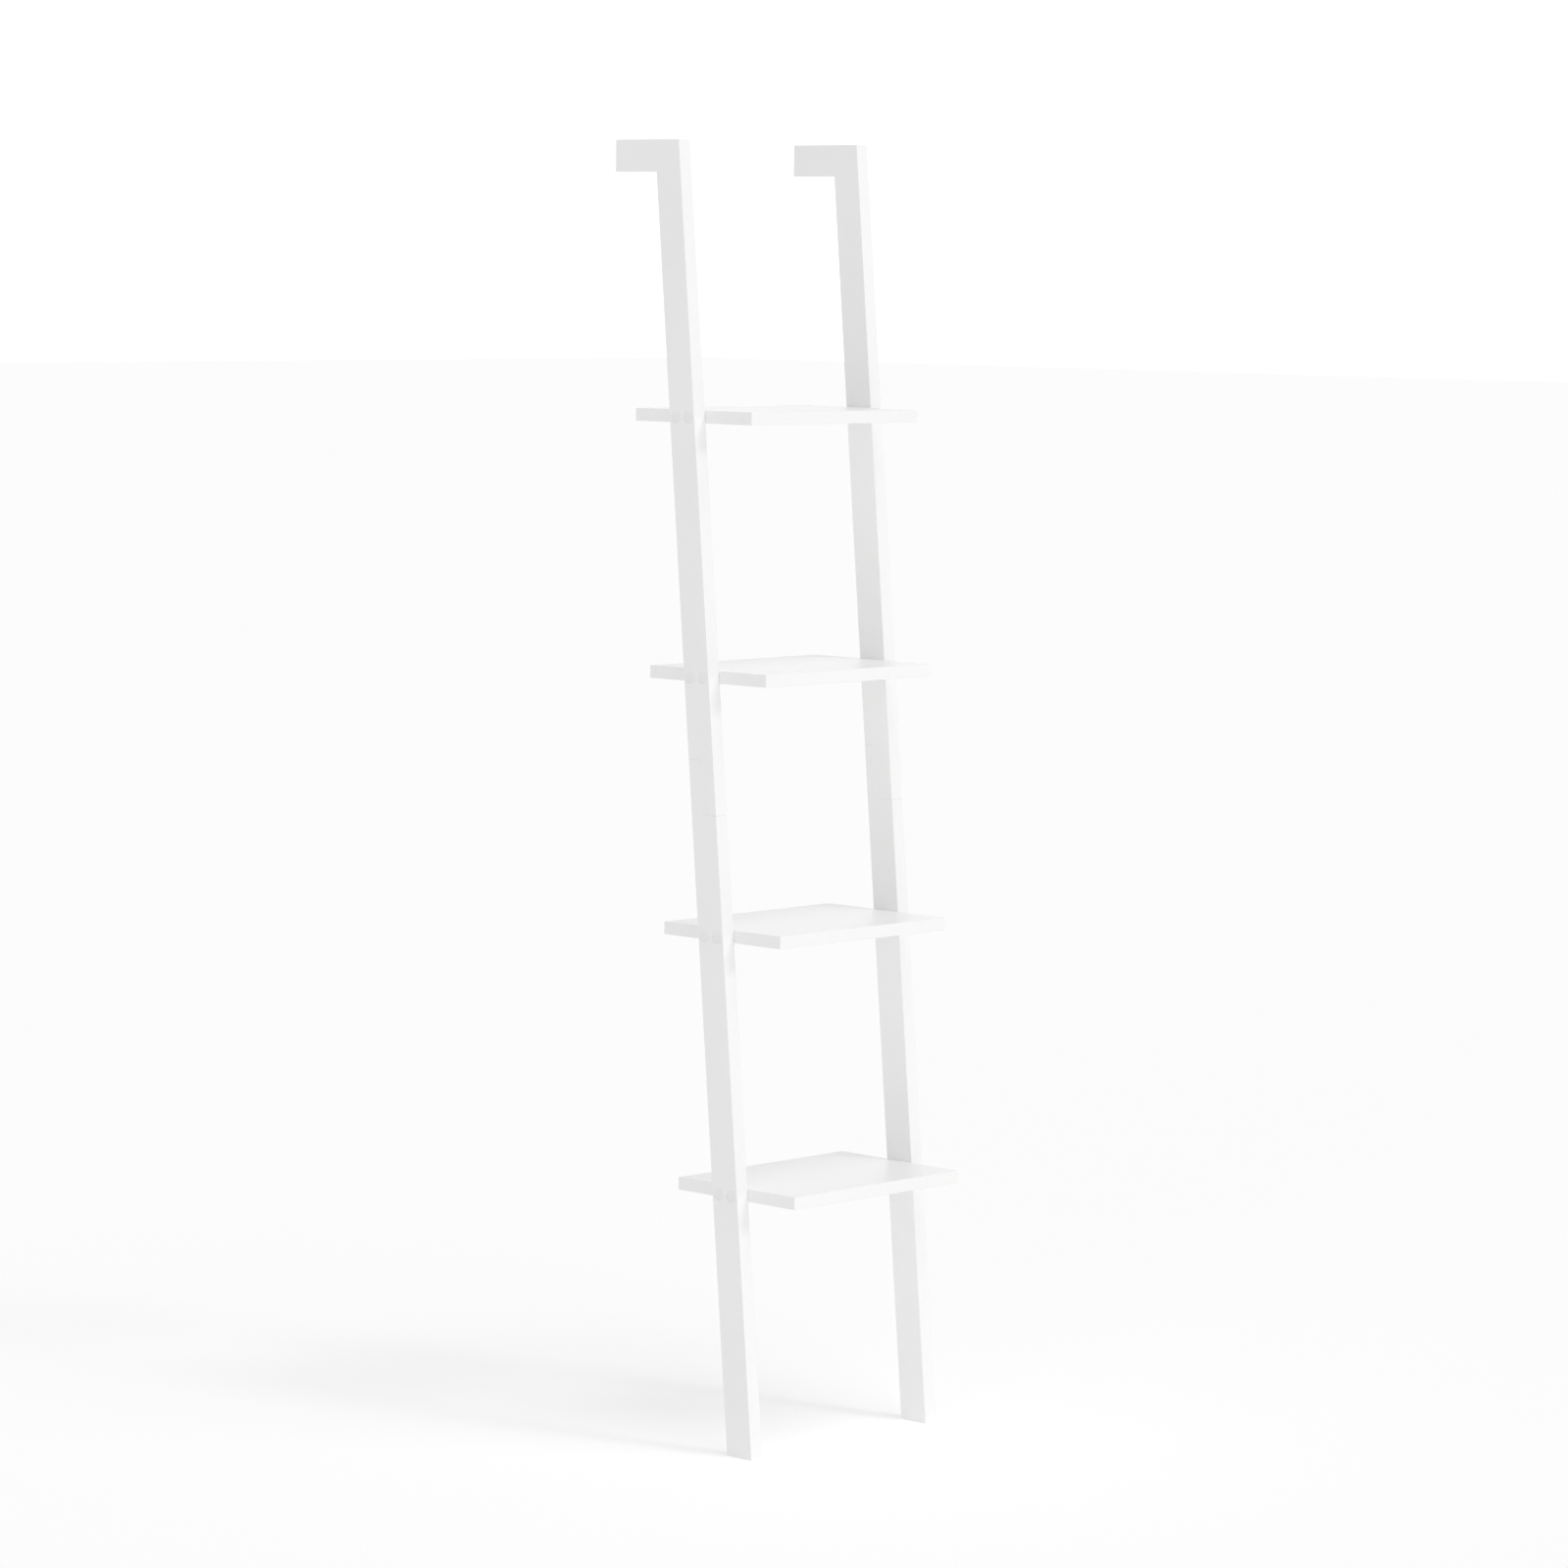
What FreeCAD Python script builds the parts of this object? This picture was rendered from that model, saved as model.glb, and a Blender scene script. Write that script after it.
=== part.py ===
import FreeCAD, Part
import os
import Sketcher

# Ladder shelf that leans on a wall: two leaning stiles with arms that reach back to the
# wall, each stile lapped from two lengths, and four level shelves bolted between them.
# Millimetres. +Z is up, -Y is the front, +Y is the wall, X runs along the shelves.
# The origin is on the floor under the middle of the whole object.

os.makedirs("parts", exist_ok=True)
doc = FreeCAD.newDocument("ladder_shelf")

# ---------------------------------------------------------------- sizes
sheet = doc.addObject("Spreadsheet::Sheet", "dims")
SIZES = [
    ("total_height", "1830"),
    ("total_width", "380"),
    ("stile_thickness", "22"),
    ("stile_depth", "48"),
    ("lean_angle", "5.25"),
    ("arm_height", "45"),
    ("arm_reach", "77"),
    ("shelf_thickness", "18"),
    ("shelf_depth", "228"),
    ("bottom_shelf_height", "376"),
    ("shelf_spacing", "360"),
    ("lap_length", "76"),
    ("lap_drop", "11"),
    ("seam_gap", "0.1"),
    ("edge_radius", "0.8"),
    ("lap_edge_radius", "0.25"),
    ("bolt_diameter", "6"),
    ("bolt_length", "60"),
    ("bolt_head_diameter", "17"),
    ("bolt_head_thickness", "2"),
    ("bolt_clearance", "0.3"),
    ("recess_clearance", "0.5"),
    ("hex_key_width", "4"),
    ("hex_key_depth", "3"),
    ("cap_thickness", "1.6"),
    ("cap_peg_clearance", "0.1"),
    ("cap_peg_length", "2.4"),
    ("cap_sink", "1"),
    ("nut_diameter", "10"),
    ("nut_length", "14"),
    ("nut_inset", "32"),
    ("nut_clearance", "0.1"),
    ("nut_slot_width", "1.2"),
    ("nut_slot_depth", "1.2"),
    ("thread_clearance", "0.05"),
    ("lap_bolt_spacing", "40"),
    ("lap_bolt_length", "30"),
    ("lap_head_diameter", "12"),
    ("lap_head_thickness", "3.3"),
    ("lap_head_sink", "0.5"),
    ("insert_diameter", "9"),
    ("insert_length", "13"),
    ("bore_spare", "2"),
]
# Lines worked out from the sizes above.
PLACES = [
    ("slope", "=tan(lean_angle)"),
    ("shelf_length", "=total_width - 2 * stile_thickness"),
    ("bottom_shelf_mid", "=bottom_shelf_height - shelf_thickness / 2"),
    ("front_reach", "=shelf_depth / 2 - stile_depth / 2 - bottom_shelf_mid * slope"),
    ("back_reach", "=total_height * slope + stile_depth + arm_reach"),
    ("foot_front", "=(front_reach - back_reach) / 2"),
    ("wall_line", "=foot_front + back_reach"),
    ("lap_bottom", "=bottom_shelf_mid + 1.5 * shelf_spacing - lap_drop"),
    ("lap_top", "=lap_bottom + lap_length"),
    ("lap_middle", "=lap_bottom + lap_length / 2"),
    ("bolt_spacing", "=stile_depth / 2"),
    ("bolt_radius", "=bolt_diameter / 2"),
    ("recess_radius", "=bolt_head_diameter / 2 + recess_clearance"),
    ("recess_depth", "=bolt_head_thickness + cap_thickness + cap_sink"),
    ("bolt_reach", "=bolt_length - (stile_thickness - recess_depth)"),
    ("cap_peg_radius", "=hex_key_width / 2 - cap_peg_clearance"),
    ("tongue_depth", "=stile_depth / 2 * cos(lean_angle)"),
    ("lap_head_seat", "=tongue_depth - lap_head_thickness - lap_head_sink"),
    ("insert_bore", "=max(insert_length; lap_bolt_length - lap_head_seat) + bore_spare"),
]
for row, (alias, content) in enumerate(SIZES + PLACES, start=1):
    sheet.set("A%d" % row, alias.replace("_", " "))
    sheet.set("B%d" % row, content)
    sheet.setAlias("B%d" % row, alias)
doc.recompute()

LEVELS = ["bottom_shelf", "lower_shelf", "upper_shelf", "top_shelf"]


def shelf_mid(level):
    """Height of the middle of a shelf's thickness."""
    return "dims.bottom_shelf_mid + %d * dims.shelf_spacing" % LEVELS.index(level)


def stile_front(height):
    """Front edge of a stile at a height."""
    return "(dims.foot_front + (%s) * dims.slope)" % height


def stile_middle(height):
    """Middle of a stile's depth at a height."""
    return "(%s + dims.stile_depth / 2)" % stile_front(height)


# ---------------------------------------------------------------- drawing helpers
def new_body(name):
    body = doc.addObject("PartDesign::Body", name)
    body.Label = name
    return body


def place(body, x="0", y="0", z="0"):
    body.setExpression(".Placement.Base.x", x)
    body.setExpression(".Placement.Base.y", y)
    body.setExpression(".Placement.Base.z", z)


def new_sketch(body, name, plane, offset="0"):
    """Sketch on one of the body's own planes, moved along the plane's normal."""
    sketch = body.newObject("Sketcher::SketchObject", name)
    support = [f for f in body.Origin.OriginFeatures if f.Role == plane][0]
    sketch.AttachmentSupport = (support, "")
    sketch.MapMode = "FlatFace"
    sketch.setExpression(".AttachmentOffset.Base.z", offset)
    return sketch


def pin_point(sketch, geometry, point, across, up):
    """Ties one sketch point to its two distances from the sketch's origin."""
    for kind, size in (("DistanceX", across), ("DistanceY", up)):
        constraint = Sketcher.Constraint(kind, geometry, point, sheet.evalExpression(size))
        index = sketch.addConstraint(constraint)
        sketch.setExpression("Constraints[%d]" % index, size)


def draw_outline(sketch, corners):
    """Closed outline of straight lines through corners given as sizes."""
    points = [FreeCAD.Vector(sheet.evalExpression(a), sheet.evalExpression(b), 0) for a, b in corners]
    count = len(points)
    for i in range(count):
        sketch.addGeometry(Part.LineSegment(points[i], points[(i + 1) % count]), False)
    for i in range(count):
        sketch.addConstraint(Sketcher.Constraint("Coincident", i, 2, (i + 1) % count, 1))
    for i, (across, up) in enumerate(corners):
        pin_point(sketch, i, 1, across, up)


def draw_circle(sketch, across, up, radius):
    centre = FreeCAD.Vector(sheet.evalExpression(across), sheet.evalExpression(up), 0)
    circle = Part.Circle(centre, FreeCAD.Vector(0, 0, 1), sheet.evalExpression(radius))
    geometry = sketch.addGeometry(circle, False)
    pin_point(sketch, geometry, 3, across, up)
    index = sketch.addConstraint(Sketcher.Constraint("Radius", geometry, sheet.evalExpression(radius)))
    sketch.setExpression("Constraints[%d]" % index, radius)


def pad(body, sketch, length, backwards=False):
    feature = body.newObject("PartDesign::Pad", sketch.Name + "_pad")
    feature.Profile = sketch
    feature.setExpression("Length", length)
    feature.Reversed = backwards
    sketch.Visibility = False
    doc.recompute()
    return feature


def pocket(body, sketch, depth, backwards=False):
    feature = body.newObject("PartDesign::Pocket", sketch.Name + "_cut")
    feature.Profile = sketch
    feature.setExpression("Length", depth)
    feature.Reversed = backwards
    sketch.Visibility = False
    doc.recompute()
    return feature


def revolve(body, sketch):
    """Turns a half profile about the sketch's horizontal axis."""
    feature = body.newObject("PartDesign::Revolution", sketch.Name + "_turned")
    feature.Profile = sketch
    feature.ReferenceAxis = (sketch, ["H_Axis"])
    feature.Angle = 360
    doc.recompute()
    return feature


def ease_edges(body, base, name, radius, wanted):
    """Rounds the edges that pass a test."""
    names = []
    for i, edge in enumerate(base.Shape.Edges, start=1):
        if wanted(edge):
            names.append("Edge%d" % i)
    feature = body.newObject("PartDesign::Fillet", name)
    feature.Base = (base, names)
    feature.setExpression("Radius", radius)
    doc.recompute()
    return feature


def mirror_whole(body, features, plane):
    feature = body.newObject("PartDesign::Mirrored", body.Name + "_mirrored_" + plane)
    feature.Originals = features
    support = [f for f in body.Origin.OriginFeatures if f.Role == plane][0]
    feature.MirrorPlane = (support, [""])
    body.Tip = feature
    doc.recompute()
    return feature


# ---------------------------------------------------------------- stiles
LOWER_OUTLINE = [
    (stile_front("0"), "0"),
    (stile_front("dims.lap_bottom"), "dims.lap_bottom"),
    (stile_middle("dims.lap_bottom"), "dims.lap_bottom"),
    (stile_middle("dims.lap_top"), "dims.lap_top"),
    (stile_front("dims.lap_top") + " + dims.stile_depth", "dims.lap_top"),
    (stile_front("0") + " + dims.stile_depth", "0"),
]
UPPER_OUTLINE = [
    (stile_front("dims.lap_bottom + dims.seam_gap"), "dims.lap_bottom + dims.seam_gap"),
    (stile_front("dims.total_height"), "dims.total_height"),
    ("dims.wall_line", "dims.total_height"),
    ("dims.wall_line", "dims.total_height - dims.arm_height"),
    (
        stile_front("dims.total_height - dims.arm_height") + " + dims.stile_depth",
        "dims.total_height - dims.arm_height",
    ),
    (
        stile_front("dims.lap_top + dims.seam_gap") + " + dims.stile_depth",
        "dims.lap_top + dims.seam_gap",
    ),
    (stile_middle("dims.lap_top + dims.seam_gap"), "dims.lap_top + dims.seam_gap"),
    (stile_middle("dims.lap_bottom + dims.seam_gap"), "dims.lap_bottom + dims.seam_gap"),
]


def on_side_face(edge):
    """True for a straight edge of a stile's inner or outer face."""
    return edge.Curve.TypeId == "Part::GeomLine" and abs(edge.Curve.Direction.x) < 0.5


def in_lap(edge):
    """True for an edge of the faces that meet in the lap joint."""
    from_middle = abs(edge.CenterOfMass.z - sheet.get("lap_middle"))
    return from_middle < sheet.get("lap_length") / 2 + sheet.get("edge_radius")


def make_stile(name, outline, levels, side, lap_radius, lap_depth, head_depth):
    """One length of a stile. side is -1 on the left and 1 on the right."""
    body = new_body(name)
    place(body, x="%d * dims.total_width / 2" % side)
    blank = new_sketch(body, name + "_outline", "YZ_Plane")
    draw_outline(blank, outline)
    length = pad(body, blank, "dims.stile_thickness", backwards=side > 0)
    # the side faces are eased all round, but only just where the two lengths meet
    eased = ease_edges(
        body, length, name + "_eased", "dims.edge_radius",
        lambda edge: on_side_face(edge) and not in_lap(edge),
    )
    ease_edges(
        body, eased, name + "_lap_eased", "dims.lap_edge_radius",
        lambda edge: on_side_face(edge) and in_lap(edge),
    )

    # holes for the shelf bolts, with a wide recess for head and cap in the outer face
    bores = new_sketch(body, name + "_bolt_bores", "YZ_Plane")
    recesses = new_sketch(body, name + "_bolt_recesses", "YZ_Plane")
    for level in levels:
        height = shelf_mid(level)
        for sign in ("-", "+"):
            across = "%s %s dims.bolt_spacing / 2" % (stile_middle(height), sign)
            draw_circle(bores, across, height, "dims.bolt_radius + dims.bolt_clearance")
            draw_circle(recesses, across, height, "dims.recess_radius")
    pocket(body, bores, "dims.stile_thickness", backwards=side < 0)
    pocket(body, recesses, "dims.recess_depth", backwards=side < 0)

    # bores of the lap joint, square to the leaning back face of the tongue
    tongue = "dims.stile_depth / 2" if name.startswith("lower") else "0"
    depths = [(lap_radius, lap_depth, "bore")]
    if head_depth:
        depths.append(("dims.lap_head_diameter / 2 + dims.recess_clearance", head_depth, "recess"))
    for radius, depth, word in depths:
        drill = new_sketch(body, name + "_lap_" + word, "XZ_Plane")
        across = "%d * dims.stile_thickness / 2" % -side
        drill.setExpression(".AttachmentOffset.Base.x", across)
        drill.setExpression(".AttachmentOffset.Base.y", "dims.lap_middle")
        drill.setExpression(
            ".AttachmentOffset.Base.z", "-(%s + %s)" % (stile_middle("dims.lap_middle"), tongue)
        )
        drill.setExpression(".AttachmentOffset.Rotation.Axis.x", "1")
        drill.setExpression(".AttachmentOffset.Rotation.Axis.y", "0")
        drill.setExpression(".AttachmentOffset.Rotation.Axis.z", "0")
        drill.setExpression(".AttachmentOffset.Rotation.Angle", "-dims.lean_angle")
        for sign in ("-", ""):
            up = "%sdims.lap_bolt_spacing / 2 - (%s) * sin(dims.lean_angle)" % (sign, tongue)
            draw_circle(drill, "0", up, radius)
        pocket(body, drill, depth, backwards=True)
    return body


for side, word in ((-1, "left"), (1, "right")):
    make_stile(
        "lower_stile_" + word, LOWER_OUTLINE, LEVELS[:2], side,
        "dims.bolt_radius + dims.bolt_clearance", "dims.stile_depth / 2",
        "dims.lap_head_thickness + dims.lap_head_sink",
    )
    make_stile(
        "upper_stile_" + word, UPPER_OUTLINE, LEVELS[2:], side,
        "dims.insert_diameter / 2", "dims.insert_bore", None,
    )

# ---------------------------------------------------------------- shelves
for level in LEVELS:
    body = new_body(level)
    place(body, y=stile_middle(shelf_mid(level)), z=shelf_mid(level))
    board = new_sketch(body, level + "_board", "XY_Plane", "-dims.shelf_thickness / 2")
    half_length = "dims.shelf_length / 2"
    half_depth = "dims.shelf_depth / 2"
    draw_outline(board, [
        ("-" + half_length, "-" + half_depth),
        (half_length, "-" + half_depth),
        (half_length, half_depth),
        ("-" + half_length, half_depth),
    ])
    blank = pad(body, board, "dims.shelf_thickness")
    ease_edges(body, blank, level + "_eased", "dims.edge_radius", lambda edge: True)
    # bolt holes in each end, met from below by the bores of the barrel nuts
    ends = new_sketch(body, level + "_end_bores", "YZ_Plane", "dims.shelf_length / 2")
    for sign in ("-", ""):
        draw_circle(ends, sign + "dims.bolt_spacing / 2", "0", "dims.bolt_radius + dims.bolt_clearance")
    end_bores = pocket(body, ends, "dims.bolt_reach + dims.bore_spare")
    mirror_whole(body, [end_bores], "YZ_Plane")
    below = new_sketch(body, level + "_nut_bores", "XY_Plane", "-dims.shelf_thickness / 2")
    for end in ("-", ""):
        for sign in ("-", ""):
            draw_circle(
                below, end + "(dims.shelf_length / 2 - dims.nut_inset)",
                sign + "dims.bolt_spacing / 2", "dims.nut_diameter / 2 + dims.nut_clearance",
            )
    pocket(body, below, "(dims.shelf_thickness + dims.nut_length) / 2", backwards=True)

# ---------------------------------------------------------------- shelf bolts, caps and barrel nuts
HEAD_SEAT = "(dims.total_width / 2 - dims.recess_depth)"


def copy_to_corners(body):
    """Repeats a piece to the front, back, left and right of its shelf."""
    for plane in ("XZ_Plane", "YZ_Plane"):
        feature = body.newObject("PartDesign::Mirrored", body.Name + "_mirrored_" + plane)
        feature.TransformMode = "Whole shape"
        support = [f for f in body.Origin.OriginFeatures if f.Role == plane][0]
        feature.MirrorPlane = (support, [""])
        body.Tip = feature
        doc.recompute()


def half_profile(body, name, corners, plane="XY_Plane"):
    """Turned piece whose axis runs along the sketch's horizontal axis, beside the shelf's middle."""
    sketch = new_sketch(body, name, plane)
    sketch.setExpression(".AttachmentOffset.Base.y", "dims.bolt_spacing / 2")
    draw_outline(sketch, corners)
    return revolve(body, sketch)


def hex_socket(body, name, face, centre, depth):
    """Hexagonal key socket sunk into the outer face of a head."""
    socket = new_sketch(body, name, "YZ_Plane", face)
    corner = "dims.hex_key_width / sqrt(3)"
    draw_outline(socket, [
        ("%s + %s * cos(%d)" % (centre, corner, turn), "%s * sin(%d)" % (corner, turn))
        for turn in range(0, 360, 60)
    ])
    pocket(body, socket, depth)


for level in LEVELS:
    # flat-headed furniture bolts, two through each stile into the shelf end
    body = new_body(level + "_bolts")
    place(body, y=stile_middle(shelf_mid(level)), z=shelf_mid(level))
    tip = HEAD_SEAT + " - dims.bolt_length"
    face = HEAD_SEAT + " + dims.bolt_head_thickness"
    half_profile(body, level + "_bolt", [
        (tip, "0"),
        (tip, "dims.bolt_radius"),
        (HEAD_SEAT, "dims.bolt_radius"),
        (HEAD_SEAT, "dims.bolt_head_diameter / 2"),
        (face, "dims.bolt_head_diameter / 2"),
        (face, "0"),
    ])
    hex_socket(body, level + "_key_socket", face, "dims.bolt_spacing / 2", "dims.hex_key_depth")
    copy_to_corners(body)

    # caps that plug into the key sockets and hide the heads, just below the stile's face
    body = new_body(level + "_bolt_caps")
    place(body, y=stile_middle(shelf_mid(level)), z=shelf_mid(level))
    outside = face + " + dims.cap_thickness"
    peg_end = face + " - dims.cap_peg_length"
    half_profile(body, level + "_cap", [
        (peg_end, "0"),
        (peg_end, "dims.cap_peg_radius"),
        (face, "dims.cap_peg_radius"),
        (face, "dims.recess_radius"),
        (outside, "dims.recess_radius"),
        (outside, "0"),
    ])
    copy_to_corners(body)

    # barrel nuts, pushed up into the underside of the shelf, with a cross thread for the bolt
    body = new_body(level + "_barrel_nuts")
    place(body, y=stile_middle(shelf_mid(level)), z=shelf_mid(level))
    across = "dims.shelf_length / 2 - dims.nut_inset"
    barrel = new_sketch(body, level + "_barrel", "XY_Plane", "-dims.nut_length / 2")
    draw_circle(barrel, across, "dims.bolt_spacing / 2", "dims.nut_diameter / 2")
    pad(body, barrel, "dims.nut_length")
    thread = new_sketch(body, level + "_thread", "YZ_Plane", across + " + dims.nut_diameter / 2")
    draw_circle(thread, "dims.bolt_spacing / 2", "0", "dims.bolt_radius + dims.thread_clearance")
    pocket(body, thread, "dims.nut_diameter")
    slot = new_sketch(body, level + "_slot", "XY_Plane", "-dims.nut_length / 2")
    near = "%s - dims.nut_diameter / 2" % across
    far = "%s + dims.nut_diameter / 2" % across
    low = "(dims.bolt_spacing - dims.nut_slot_width) / 2"
    high = "(dims.bolt_spacing + dims.nut_slot_width) / 2"
    draw_outline(slot, [(near, low), (far, low), (far, high), (near, high)])
    pocket(body, slot, "dims.nut_slot_depth", backwards=True)
    copy_to_corners(body)

# ---------------------------------------------------------------- lap bolts and inserts
for side, word in ((-1, "left"), (1, "right")):
    # each turned piece lies square to the leaning back face, in the middle of the stile
    centre = "%d * (dims.total_width - dims.stile_thickness) / 2" % side
    head_seat = "dims.lap_head_seat"
    profiles = {
        "lap_bolts_": [
            (head_seat + " - dims.lap_bolt_length", "0"),
            (head_seat + " - dims.lap_bolt_length", "dims.bolt_radius"),
            (head_seat, "dims.bolt_radius"),
            (head_seat, "dims.lap_head_diameter / 2"),
            (head_seat + " + dims.lap_head_thickness", "dims.lap_head_diameter / 2"),
            (head_seat + " + dims.lap_head_thickness", "0"),
        ],
        "lap_inserts_": [
            ("-dims.insert_length", "dims.bolt_radius + dims.thread_clearance"),
            ("-dims.insert_length", "dims.insert_diameter / 2"),
            ("0", "dims.insert_diameter / 2"),
            ("0", "dims.bolt_radius + dims.thread_clearance"),
        ],
    }
    for start, corners in profiles.items():
        body = new_body(start + word)
        place(body, x=centre, y=stile_middle("dims.lap_middle"), z="dims.lap_middle")
        for axis, turn in (("x", "1"), ("y", "0"), ("z", "0")):
            body.setExpression(".Placement.Rotation.Axis." + axis, turn)
        body.setExpression(".Placement.Rotation.Angle", "-dims.lean_angle")
        profile = new_sketch(body, start + word + "_profile", "YZ_Plane")
        profile.setExpression(".AttachmentOffset.Base.y", "dims.lap_bolt_spacing / 2")
        draw_outline(profile, corners)
        revolve(body, profile)
        if start == "lap_bolts_":
            socket = new_sketch(
                body, "lap_socket_" + word, "XZ_Plane",
                "-(dims.lap_head_seat + dims.lap_head_thickness)",
            )
            corner = "dims.hex_key_width / sqrt(3)"
            draw_outline(socket, [
                ("%s * cos(%d)" % (corner, turn), "dims.lap_bolt_spacing / 2 + %s * sin(%d)" % (corner, turn))
                for turn in range(0, 360, 60)
            ])
            pocket(body, socket, "dims.hex_key_depth", backwards=True)
        feature = body.newObject("PartDesign::Mirrored", start + word + "_mirrored")
        feature.TransformMode = "Whole shape"
        support = [f for f in body.Origin.OriginFeatures if f.Role == "XY_Plane"][0]
        feature.MirrorPlane = (support, [""])
        body.Tip = feature
        doc.recompute()

# ---------------------------------------------------------------- checks and export
doc.recompute()
faults = [o.Label for o in doc.Objects if "Invalid" in o.State or "Error" in o.State]
for body in doc.findObjects("PartDesign::Body"):
    if not body.Shape.isValid():
        faults.append(body.Label)
if faults:
    raise RuntimeError("not built: " + ", ".join(faults))
for body in doc.findObjects("PartDesign::Body"):
    body.Shape.exportStep("parts/%s.step" % body.Label)
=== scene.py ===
import math

import bpy
from mathutils import Matrix, Vector


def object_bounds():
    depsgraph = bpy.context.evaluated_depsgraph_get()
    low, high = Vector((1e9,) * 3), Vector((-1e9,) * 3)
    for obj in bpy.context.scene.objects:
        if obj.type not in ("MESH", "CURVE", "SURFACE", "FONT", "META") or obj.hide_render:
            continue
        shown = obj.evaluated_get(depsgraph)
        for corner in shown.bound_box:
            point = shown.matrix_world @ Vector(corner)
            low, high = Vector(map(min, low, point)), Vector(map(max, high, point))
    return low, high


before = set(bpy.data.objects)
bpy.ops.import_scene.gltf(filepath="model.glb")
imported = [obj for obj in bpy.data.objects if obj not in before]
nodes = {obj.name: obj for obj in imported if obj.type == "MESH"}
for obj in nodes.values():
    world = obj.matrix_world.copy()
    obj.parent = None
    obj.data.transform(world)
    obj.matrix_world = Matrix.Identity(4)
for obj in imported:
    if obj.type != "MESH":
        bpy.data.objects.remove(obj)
cad_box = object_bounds()

# ---------------------------------------------------------------- lower stiles
# Square-edged battens, 22 by 48 mm, cut level at the foot and halved at the top for the lap.
# Each is sanded, primed and sprayed with white satin lacquer, which leaves a faint orange peel
# and lets a trace of the batten's long fibres show.


def link(tree, source, output, target, socket):
    """Joins an output of one shader node to an input of another."""
    tree.links.new(source.outputs[output], target.inputs[socket])


def sprayed_lacquer(name, fibre_stretch, fibre_height):
    """White satin lacquer over wood.

    fibre_stretch is how many ripples a metre show along X, Y and Z, and fibre_height is how
    high they stand, in metres.
    """
    lacquer = bpy.data.materials.new(name)
    lacquer.use_nodes = True
    tree = lacquer.node_tree
    coat = tree.nodes["Principled BSDF"]
    coat.inputs["IOR"].default_value = 1.5
    coat.inputs["Specular IOR Level"].default_value = 0.5
    place = tree.nodes.new("ShaderNodeTexCoord")

    # the white drifts a little from one part of a board to the next
    drift = tree.nodes.new("ShaderNodeTexNoise")
    drift.inputs["Scale"].default_value = 5.0
    drift.inputs["Detail"].default_value = 3.0
    white = tree.nodes.new("ShaderNodeValToRGB")
    white.color_ramp.elements[0].position = 0.3
    white.color_ramp.elements[0].color = (0.912, 0.912, 0.909, 1)
    white.color_ramp.elements[1].position = 0.7
    white.color_ramp.elements[1].color = (0.934, 0.934, 0.932, 1)
    link(tree, place, "Object", drift, "Vector")
    link(tree, drift, "Fac", white, "Fac")
    link(tree, white, "Color", coat, "Base Color")

    # the sheen varies where the spray went on wetter or drier
    wet = tree.nodes.new("ShaderNodeTexNoise")
    wet.inputs["Scale"].default_value = 38.0
    wet.inputs["Detail"].default_value = 4.0
    sheen = tree.nodes.new("ShaderNodeMapRange")
    sheen.inputs["To Min"].default_value = 0.30
    sheen.inputs["To Max"].default_value = 0.42
    link(tree, place, "Object", wet, "Vector")
    link(tree, wet, "Fac", sheen, "Value")
    link(tree, sheen, "Result", coat, "Roughness")

    # orange peel, about 1.5 mm across
    peel = tree.nodes.new("ShaderNodeTexNoise")
    peel.inputs["Scale"].default_value = 620.0
    peel.inputs["Detail"].default_value = 1.5
    peel_bump = tree.nodes.new("ShaderNodeBump")
    peel_bump.inputs["Strength"].default_value = 0.35
    peel_bump.inputs["Distance"].default_value = 0.00006
    link(tree, place, "Object", peel, "Vector")
    link(tree, peel, "Fac", peel_bump, "Height")

    # long fibres under the lacquer
    along = tree.nodes.new("ShaderNodeMapping")
    along.inputs["Scale"].default_value = fibre_stretch
    fibres = tree.nodes.new("ShaderNodeTexNoise")
    fibres.inputs["Scale"].default_value = 1.0
    fibres.inputs["Detail"].default_value = 5.0
    fibre_bump = tree.nodes.new("ShaderNodeBump")
    fibre_bump.inputs["Strength"].default_value = 0.3
    fibre_bump.inputs["Distance"].default_value = fibre_height
    link(tree, place, "Object", along, "Vector")
    link(tree, along, "Vector", fibres, "Vector")
    link(tree, fibres, "Fac", fibre_bump, "Height")
    link(tree, peel_bump, "Normal", fibre_bump, "Normal")
    link(tree, fibre_bump, "Normal", coat, "Normal")
    return lacquer


def finish_node(name, material):
    """Gives a carried-over piece its finish."""
    mesh = nodes[name].data
    mesh.materials.clear()
    mesh.materials.append(material)


sides = ("left", "right")
upright_fibres = (420.0, 420.0, 9.0)
stile_lacquer = sprayed_lacquer("stile_lacquer", upright_fibres, 0.00005)
for side in sides:
    finish_node("lower_stile_" + side, stile_lacquer)

# ---------------------------------------------------------------- upper stiles
# The same batten, halved at its lower end. A level arm at the top reaches back to the wall, and
# the whole length is sprayed in one piece with it.
for side in sides:
    finish_node("upper_stile_" + side, stile_lacquer)

# ---------------------------------------------------------------- lap bolts and inserts
# Two low-headed bolts hold each lap. They are driven from the back, through the tongue of the
# lower stile, into threaded inserts in the tongue of the upper one. All are zinc-plated steel.


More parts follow.
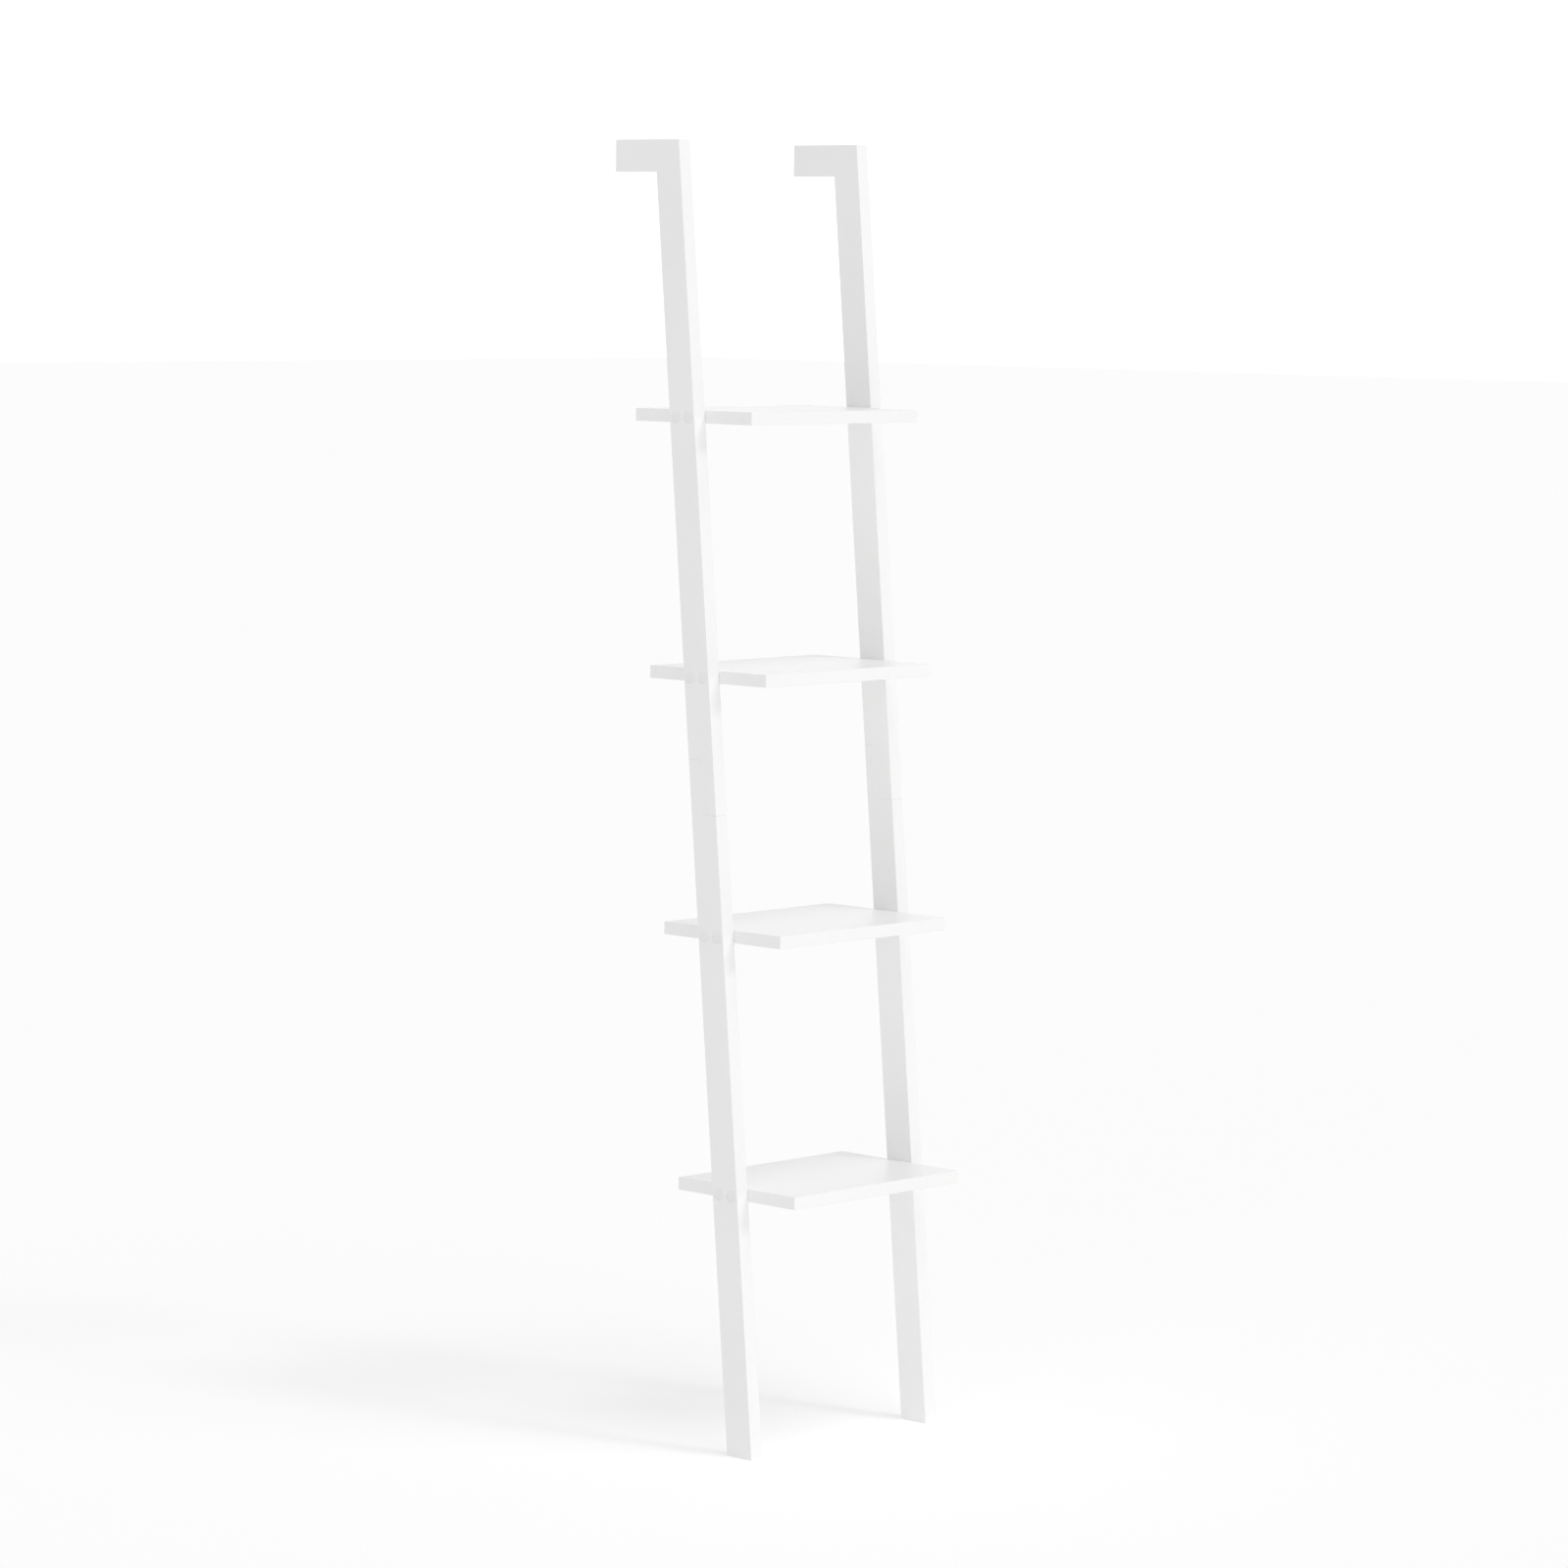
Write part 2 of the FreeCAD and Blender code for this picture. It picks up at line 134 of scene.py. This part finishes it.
def zinc_plate(name, tint):
    """Bright zinc: a grey metal with a cloudy, slightly blue passivated skin."""
    zinc = bpy.data.materials.new(name)
    zinc.use_nodes = True
    tree = zinc.node_tree
    metal = tree.nodes["Principled BSDF"]
    metal.inputs["Metallic"].default_value = 1.0
    place = tree.nodes.new("ShaderNodeTexCoord")
    cloud = tree.nodes.new("ShaderNodeTexNoise")
    cloud.inputs["Scale"].default_value = 320.0
    cloud.inputs["Detail"].default_value = 4.0
    skin = tree.nodes.new("ShaderNodeValToRGB")
    skin.color_ramp.elements[0].position = 0.35
    skin.color_ramp.elements[0].color = (0.56, 0.58, 0.62, 1)
    skin.color_ramp.elements[1].position = 0.7
    skin.color_ramp.elements[1].color = tint
    rough = tree.nodes.new("ShaderNodeMapRange")
    rough.inputs["To Min"].default_value = 0.22
    rough.inputs["To Max"].default_value = 0.4
    link(tree, place, "Object", cloud, "Vector")
    link(tree, cloud, "Fac", skin, "Fac")
    link(tree, cloud, "Fac", rough, "Value")
    link(tree, skin, "Color", metal, "Base Color")
    link(tree, rough, "Result", metal, "Roughness")
    return zinc


bolt_zinc = zinc_plate("bolt_zinc", (0.74, 0.75, 0.77, 1))
for side in sides:
    finish_node("lap_bolts_" + side, bolt_zinc)
    finish_node("lap_inserts_" + side, bolt_zinc)

# ---------------------------------------------------------------- shelves
# Four boards, 18 mm thick, sawn square, eased by a stroke of the sanding block and sprayed
# all round in the same white lacquer. They lie level between the stiles.
levels = ("bottom", "lower", "upper", "top")
lengthwise_fibres = (7.0, 300.0, 300.0)
shelf_lacquer = sprayed_lacquer("shelf_lacquer", lengthwise_fibres, 0.00003)
for level in levels:
    finish_node(level + "_shelf", shelf_lacquer)

# ---------------------------------------------------------------- shelf bolts and barrel nuts
# Flat-headed furniture bolts through the stiles, two at each shelf end, pulled tight by barrel
# nuts pushed up into the underside of the shelf.
nut_zinc = zinc_plate("nut_zinc", (0.70, 0.71, 0.72, 1))
for level in levels:
    finish_node(level + "_shelf_bolts", bolt_zinc)
    finish_node(level + "_shelf_barrel_nuts", nut_zinc)

# ---------------------------------------------------------------- bolt caps
# White moulded plastic discs with a peg that plugs into the bolt head. They lie a millimetre
# below the stile's face.


def moulded_plastic(name):
    """White plastic with a satin skin from the mould."""
    plastic = bpy.data.materials.new(name)
    plastic.use_nodes = True
    tree = plastic.node_tree
    skin = tree.nodes["Principled BSDF"]
    place = tree.nodes.new("ShaderNodeTexCoord")
    flow = tree.nodes.new("ShaderNodeTexNoise")
    flow.inputs["Scale"].default_value = 90.0
    white = tree.nodes.new("ShaderNodeValToRGB")
    white.color_ramp.elements[0].color = (0.885, 0.885, 0.882, 1)
    white.color_ramp.elements[1].color = (0.90, 0.90, 0.898, 1)
    sheen = tree.nodes.new("ShaderNodeMapRange")
    sheen.inputs["To Min"].default_value = 0.34
    sheen.inputs["To Max"].default_value = 0.42
    link(tree, place, "Object", flow, "Vector")
    link(tree, flow, "Fac", white, "Fac")
    link(tree, flow, "Fac", sheen, "Value")
    link(tree, white, "Color", skin, "Base Color")
    link(tree, sheen, "Result", skin, "Roughness")

    # the mould's fine spark-eroded grain
    grain = tree.nodes.new("ShaderNodeTexNoise")
    grain.inputs["Scale"].default_value = 1800.0
    grain_bump = tree.nodes.new("ShaderNodeBump")
    grain_bump.inputs["Strength"].default_value = 0.25
    grain_bump.inputs["Distance"].default_value = 0.00002
    link(tree, place, "Object", grain, "Vector")
    link(tree, grain, "Fac", grain_bump, "Height")
    link(tree, grain_bump, "Normal", skin, "Normal")
    return plastic


cap_plastic = moulded_plastic("cap_plastic")
for level in levels:
    finish_node(level + "_shelf_bolt_caps", cap_plastic)

# ---------------------------------------------------------------- studio
# A plain white floor that runs out of sight, a pale surround, a broad high light and a smaller
# low one from the front, and a weak fill from the left.
floor_level = cad_box[0].z
floor_reach = 60.0
floor_corners = [
    (across * floor_reach, along * floor_reach, 0)
    for across, along in ((-1, -1), (1, -1), (1, 1), (-1, 1))
]
floor_mesh = bpy.data.meshes.new("studio_floor")
floor_mesh.from_pydata(floor_corners, [], [(0, 1, 2, 3)])
floor = bpy.data.objects.new("studio_floor", floor_mesh)
floor.location.z = floor_level
bpy.context.scene.collection.objects.link(floor)
floor_paint = bpy.data.materials.new("floor_paint")
floor_paint.use_nodes = True
paint = floor_paint.node_tree.nodes["Principled BSDF"]
paint.inputs["Base Color"].default_value = (0.93, 0.93, 0.93, 1)
paint.inputs["Roughness"].default_value = 1.0
paint.inputs["Specular IOR Level"].default_value = 0.0
paint.inputs["Emission Color"].default_value = (1, 1, 1, 1)
paint.inputs["Emission Strength"].default_value = 0.23
floor_mesh.materials.append(floor_paint)

surround = bpy.data.worlds.new("studio_surround")
surround.use_nodes = True
surround_nodes = surround.node_tree.nodes
air = surround_nodes["Background"]
air.inputs["Color"].default_value = (1, 1, 1, 1)
air.inputs["Strength"].default_value = 0.53
bright = surround_nodes.new("ShaderNodeBackground")
bright.inputs["Color"].default_value = (1, 1, 1, 1)
bright.inputs["Strength"].default_value = 1.20
seen = surround_nodes.new("ShaderNodeLightPath")
choice = surround_nodes.new("ShaderNodeMixShader")
link(surround.node_tree, seen, "Is Diffuse Ray", choice, "Fac")
link(surround.node_tree, bright, "Background", choice, 1)
link(surround.node_tree, air, "Background", choice, 2)
link(surround.node_tree, choice, "Shader", surround_nodes["World Output"], "Surface")
bpy.context.scene.world = surround

for lamp_name, strength, spread, towards in (
    ("high_front_light", 0.70, 45, (0.00, -0.50, 0.85)),
    ("low_front_light", 0.44, 12, (0.20, -0.87, 0.42)),
    ("left_fill_light", 0.20, 30, (-0.85, -0.45, 0.28)),
):
    light = bpy.data.lights.new(lamp_name, "SUN")
    light.energy = strength
    light.angle = math.radians(spread)
    lamp = bpy.data.objects.new(lamp_name, light)
    lamp.rotation_euler = Vector(towards).to_track_quat("Z", "Y").to_euler()
    bpy.context.scene.collection.objects.link(lamp)

# ---------------------------------------------------------------- camera
# A long lens at a standing person's eye height, well out to the left of the front, turned
# towards the shelf and tipped down a little.
lens_length = 125.13
sensor_width = 36.0
eye_distance = 7.6828
eye_bearing = math.radians(46.056)
eye_height = 1.6666
turned_left = math.radians(45.964)
tipped_down = math.radians(5.502)
rolled = math.radians(0.654)

eye = bpy.data.cameras.new("camera")
eye.lens = lens_length
eye.sensor_width = sensor_width
camera = bpy.data.objects.new("camera", eye)
camera.location = (
    -eye_distance * math.sin(eye_bearing),
    -eye_distance * math.cos(eye_bearing),
    floor_level + eye_height,
)
aim = (
    Matrix.Rotation(-turned_left, 3, "Z")
    @ Matrix.Rotation(math.pi / 2 - tipped_down, 3, "X")
    @ Matrix.Rotation(rolled, 3, "Z")
)
camera.rotation_euler = aim.to_euler()
bpy.context.scene.collection.objects.link(camera)
bpy.context.scene.camera = camera
bpy.context.scene.view_settings.view_transform = "Standard"
